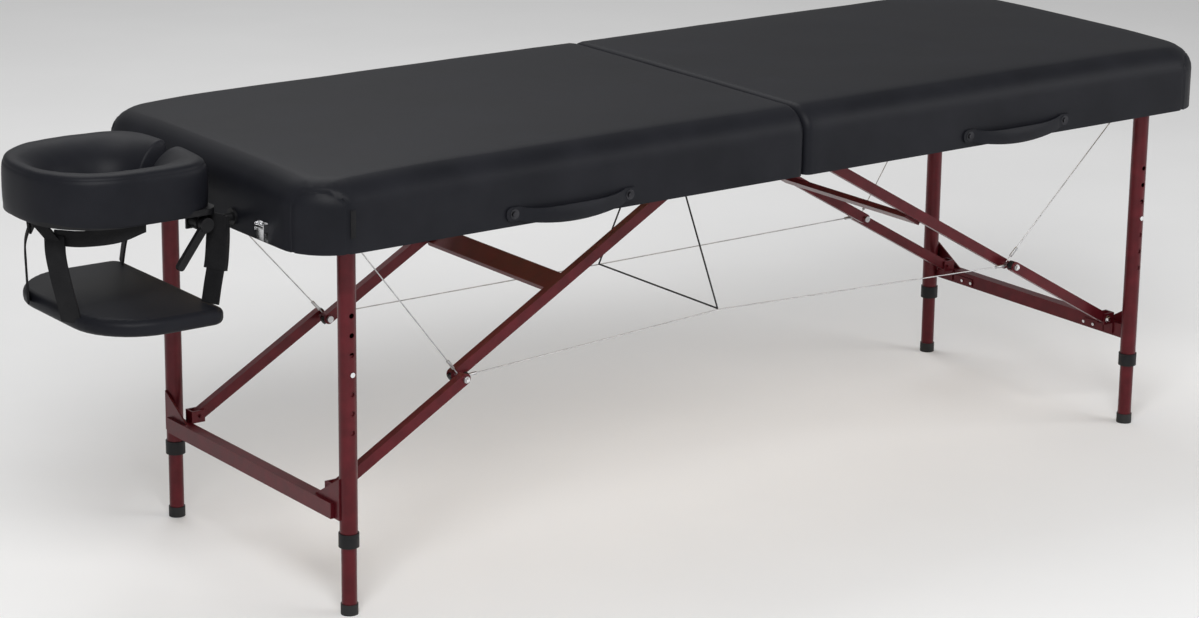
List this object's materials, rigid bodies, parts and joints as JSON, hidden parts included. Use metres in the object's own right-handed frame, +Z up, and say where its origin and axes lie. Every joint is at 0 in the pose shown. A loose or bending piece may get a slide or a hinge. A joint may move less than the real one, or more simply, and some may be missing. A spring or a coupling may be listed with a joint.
{
  "type": "massage_table",
  "caption": "Portable massage table: two hinged padded halves on folding extending legs with cable braces, a face cradle and a hanging arm shelf.",
  "frame": {"origin": "on the floor under the middle of the whole object's box, cradle included", "axes": "+X from the head end (face cradle) to the foot end, +Z up, carrying handles on the -Y side"},
  "size_m": [2.159, 0.675, 0.703],
  "materials": {
    "vinyl": "satin black vinyl",
    "wood": "sanded plywood",
    "burgundy_paint": "semi gloss",
    "steel": "zinc plated",
    "chrome": "polished",
    "black_plastic": "matt",
    "rubber": "matt",
    "webbing": "woven",
    "cord": "braided"
  },
  "bodies": {
    "head_half": {"head_frame": "wood", "head_skirt": "vinyl", "head_cushion": "vinyl", "head_leg_brackets": "steel", "head_brace_mounts": "steel", "head_hinge_leaves": "steel", "head_handle": "vinyl", "head_handle_screws": "chrome", "head_stay_cables": "steel", "head_knee_cables": "steel", "lift_cord": "cord", "latch_bases": "chrome", "cradle_sockets": "black_plastic"},
    "hinge_pins": {"hinge_pins": "steel"},
    "foot_half": {"foot_frame": "wood", "foot_skirt": "vinyl", "foot_cushion": "vinyl", "foot_leg_brackets": "steel", "foot_brace_mounts": "steel", "foot_hinge_leaves": "steel", "foot_handle": "vinyl", "foot_handle_screws": "chrome", "foot_stay_cables": "steel", "foot_knee_cables": "steel", "latch_keepers": "chrome"},
    "latch_near": {"latch_lever_near": "chrome"},
    "latch_far": {"latch_lever_far": "chrome"},
    "cradle_mount": {"cradle_posts": "black_plastic"},
    "cradle": {"cradle_platform": "black_plastic", "cradle_cushion": "vinyl", "shelf_rear_straps": "webbing", "shelf_front_straps": "webbing"},
    "cam_lever": {"cam_lever": "black_plastic"},
    "arm_shelf": {"arm_shelf": "vinyl"},
    "head_legs": {"head_leg_tubes": "burgundy_paint", "head_leg_crossbar": "burgundy_paint", "head_leg_collars": "black_plastic"},
    "head_lower_links": {"head_lower_links": "burgundy_paint", "head_knee_bolts": "steel"},
    "head_upper_links": {"head_upper_links": "burgundy_paint", "head_knee_nuts": "steel"},
    "head_near_extension": {"head_near_leg_extension": "burgundy_paint", "head_near_foot_tip": "rubber"},
    "head_near_button": {"head_near_snap_button": "chrome"},
    "head_far_extension": {"head_far_leg_extension": "burgundy_paint", "head_far_foot_tip": "rubber"},
    "head_far_button": {"head_far_snap_button": "chrome"},
    "foot_legs": {"foot_leg_tubes": "burgundy_paint", "foot_leg_crossbar": "burgundy_paint", "foot_leg_collars": "black_plastic"},
    "foot_lower_links": {"foot_lower_links": "burgundy_paint", "foot_knee_bolts": "steel"},
    "foot_upper_links": {"foot_upper_links": "burgundy_paint", "foot_knee_nuts": "steel"},
    "foot_near_extension": {"foot_near_leg_extension": "burgundy_paint", "foot_near_foot_tip": "rubber"},
    "foot_near_button": {"foot_near_snap_button": "chrome"},
    "foot_far_extension": {"foot_far_leg_extension": "burgundy_paint", "foot_far_foot_tip": "rubber"},
    "foot_far_button": {"foot_far_snap_button": "chrome"}
  },
  "joints": [
    {"name": "table_fold_upper", "type": "hinge", "parent": "head_half", "child": "hinge_pins", "pos_m": [0.1495, 0, 0.581], "axis": [0, 1, 0], "range_deg": [0, 90]},
    {"name": "table_fold_lower", "type": "hinge", "parent": "hinge_pins", "child": "foot_half", "pos_m": [0.1495, 0, 0.581], "axis": [0, 1, 0], "range_deg": [0, 90]},
    {"name": "head_leg_fold", "type": "hinge", "parent": "head_half", "child": "head_legs", "pos_m": [-0.6775, 0, 0.615], "axis": [0, -1, 0], "range_deg": [0, 90], "deforming": ["head_stay_cables", "head_knee_cables", "lift_cord"]},
    {"name": "head_upper_brace", "type": "hinge", "parent": "head_half", "child": "head_upper_links", "pos_m": [0.1095, 0, 0.628], "axis": [0, 1, 0], "range_deg": [0, 29.73]},
    {"name": "head_lower_brace", "type": "hinge", "parent": "head_legs", "child": "head_lower_links", "pos_m": [-0.6645, 0, 0.186], "axis": [0, -1, 0], "range_deg": [0, 60.28]},
    {"name": "head_near_extension_slide", "type": "slide", "parent": "head_legs", "child": "head_near_extension", "axis": [0, 0, -1], "range_m": [-0.0915, 0.0915], "deforming": ["head_near_snap_button"]},
    {"name": "head_near_button_press", "type": "slide", "parent": "head_near_extension", "child": "head_near_button", "axis": [0, 1, 0], "range_m": [0, 0.005], "stiffness_N_per_m": 800},
    {"name": "head_far_extension_slide", "type": "slide", "parent": "head_legs", "child": "head_far_extension", "axis": [0, 0, -1], "range_m": [-0.0915, 0.0915], "deforming": ["head_far_snap_button"]},
    {"name": "head_far_button_press", "type": "slide", "parent": "head_far_extension", "child": "head_far_button", "axis": [0, -1, 0], "range_m": [0, 0.005], "stiffness_N_per_m": 800},
    {"name": "foot_leg_fold", "type": "hinge", "parent": "foot_half", "child": "foot_legs", "pos_m": [0.9765, 0, 0.615], "axis": [0, 1, 0], "range_deg": [0, 90], "deforming": ["foot_stay_cables", "foot_knee_cables"]},
    {"name": "foot_upper_brace", "type": "hinge", "parent": "foot_half", "child": "foot_upper_links", "pos_m": [0.1895, 0, 0.628], "axis": [0, -1, 0], "range_deg": [0, 29.73]},
    {"name": "foot_lower_brace", "type": "hinge", "parent": "foot_legs", "child": "foot_lower_links", "pos_m": [0.9635, 0, 0.186], "axis": [0, 1, 0], "range_deg": [0, 60.28]},
    {"name": "foot_near_extension_slide", "type": "slide", "parent": "foot_legs", "child": "foot_near_extension", "axis": [0, 0, -1], "range_m": [-0.0915, 0.0915], "deforming": ["foot_near_snap_button"]},
    {"name": "foot_near_button_press", "type": "slide", "parent": "foot_near_extension", "child": "foot_near_button", "axis": [0, 1, 0], "range_m": [0, 0.005], "stiffness_N_per_m": 800},
    {"name": "foot_far_extension_slide", "type": "slide", "parent": "foot_legs", "child": "foot_far_extension", "axis": [0, 0, -1], "range_m": [-0.0915, 0.0915], "deforming": ["foot_far_snap_button"]},
    {"name": "foot_far_button_press", "type": "slide", "parent": "foot_far_extension", "child": "foot_far_button", "axis": [0, -1, 0], "range_m": [0, 0.005], "stiffness_N_per_m": 800},
    {"name": "latch_near_lift", "type": "hinge", "parent": "head_half", "child": "latch_near", "pos_m": [-0.783, -0.2, 0.61], "axis": [0, 1, 0], "range_deg": [0, 150]},
    {"name": "latch_far_lift", "type": "hinge", "parent": "head_half", "child": "latch_far", "pos_m": [-0.783, 0.2, 0.61], "axis": [0, 1, 0], "range_deg": [0, 150]},
    {"name": "cradle_insertion", "type": "slide", "parent": "head_half", "child": "cradle_mount", "axis": [-1, 0, 0], "range_m": [0, 0.06]},
    {"name": "cradle_tilt", "type": "hinge", "parent": "cradle_mount", "child": "cradle", "pos_m": [-0.8355, 0, 0.606], "axis": [0, -1, 0], "range_deg": [-15, 30]},
    {"name": "cam_lever_turn", "type": "hinge", "parent": "cradle", "child": "cam_lever", "pos_m": [-0.8355, -0.13, 0.606], "axis": [0, 1, 0], "range_deg": [0, 50]},
    {"name": "arm_shelf_height", "type": "slide", "parent": "cradle", "child": "arm_shelf", "axis": [0, 0, 1], "range_m": [0, 0.045], "deforming": ["shelf_rear_straps", "shelf_front_straps"]}
  ],
  "couplings": [
    {"joint": "head_upper_brace", "follows": "head_leg_fold", "ratio": 0.3303},
    {"joint": "head_lower_brace", "follows": "head_leg_fold", "ratio": 0.6697},
    {"joint": "foot_upper_brace", "follows": "foot_leg_fold", "ratio": 0.3303},
    {"joint": "foot_lower_brace", "follows": "foot_leg_fold", "ratio": 0.6697}
  ]
}
